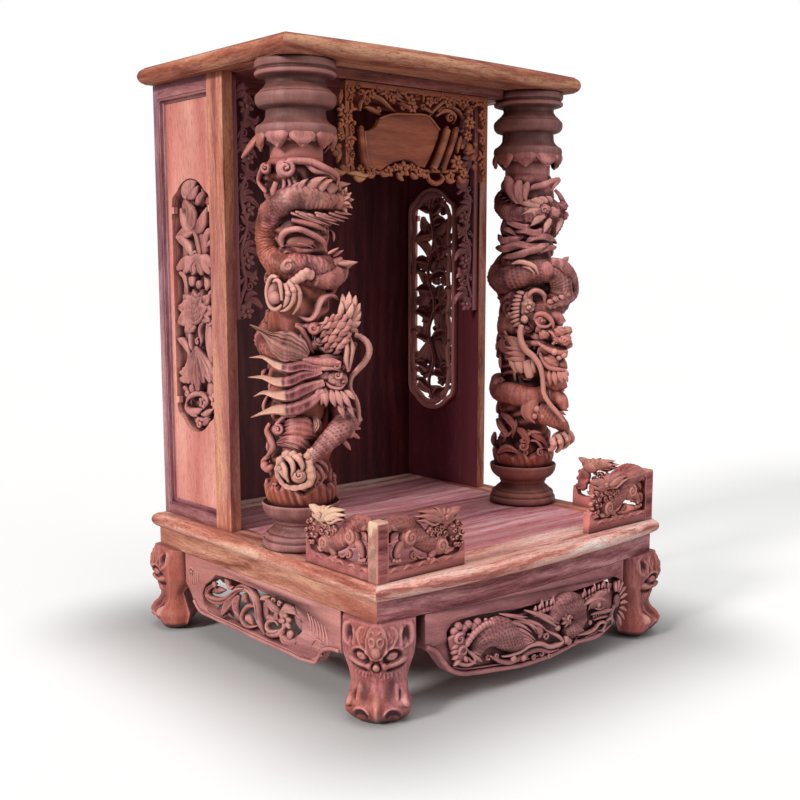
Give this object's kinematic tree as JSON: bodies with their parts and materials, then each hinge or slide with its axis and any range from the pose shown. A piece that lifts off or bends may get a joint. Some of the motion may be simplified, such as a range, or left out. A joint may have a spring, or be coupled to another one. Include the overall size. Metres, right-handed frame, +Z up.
{
  "type": "carved hardwood wealth god altar",
  "caption": "Carved hardwood altar cabinet: raised base on lion-mask legs, open cabinet with pierced lotus side panels, and a roof on dragon columns.",
  "frame": {"origin": "middle of the floor area under the altar, at floor level", "axes": "+Z up; +X to the viewer's right when facing the open front; -Y towards the viewer"},
  "size_m": [0.7334, 0.7287, 1.07],
  "materials": {
    "leg_wood": "bare oiled hardwood",
    "apron_wood": "bare oiled hardwood",
    "frieze_front_wood": "bare oiled hardwood",
    "frieze_side_wood": "bare oiled hardwood",
    "base_edge_wood": "bare oiled hardwood",
    "floor_wood": "bare oiled hardwood",
    "post_wood": "bare oiled hardwood",
    "rail_wood": "bare oiled hardwood",
    "panel_wood": "bare oiled hardwood",
    "back_wood": "bare oiled hardwood",
    "roof_edge_wood": "bare oiled hardwood",
    "roof_wood": "bare oiled hardwood",
    "header_wood": "bare oiled hardwood",
    "fret_wood": "bare oiled hardwood",
    "lotus_wood": "bare oiled hardwood",
    "drop_wood": "bare oiled hardwood",
    "dragon_wood": "bare oiled hardwood",
    "rail_carving_wood": "bare oiled hardwood"
  },
  "bodies": {
    "root": {"leg_front_left": "leg_wood", "leg_front_right": "leg_wood", "leg_back_left": "leg_wood", "leg_back_right": "leg_wood", "apron_front": "apron_wood", "apron_back": "apron_wood", "apron_left": "apron_wood", "apron_right": "apron_wood", "frieze_front": "frieze_front_wood", "frieze_back": "frieze_front_wood", "frieze_left": "frieze_side_wood", "frieze_right": "frieze_side_wood", "base_frame_front": "base_edge_wood", "base_frame_back": "base_edge_wood", "base_frame_left": "base_edge_wood", "base_frame_right": "base_edge_wood", "floor_boards": "floor_wood", "front_post_left": "post_wood", "back_stile_left": "rail_wood", "top_rail_left": "rail_wood", "bottom_rail_left": "rail_wood", "side_panel_left": "panel_wood", "lotus_carving_left": "lotus_wood", "front_post_right": "post_wood", "back_stile_right": "rail_wood", "top_rail_right": "rail_wood", "bottom_rail_right": "rail_wood", "side_panel_right": "panel_wood", "lotus_carving_right": "lotus_wood", "back_boards": "back_wood", "roof_frame_front": "roof_edge_wood", "roof_frame_back": "roof_edge_wood", "roof_frame_left": "roof_edge_wood", "roof_frame_right": "roof_edge_wood", "roof_panel": "roof_wood", "header_rail": "header_wood", "hanging_fret": "fret_wood", "side_drop_left": "drop_wood", "side_drop_right": "drop_wood", "dragon_column_left": "dragon_wood", "dragon_column_right": "dragon_wood", "corner_rail_left": "rail_carving_wood", "corner_rail_right": "rail_carving_wood"}
  },
  "joints": []
}
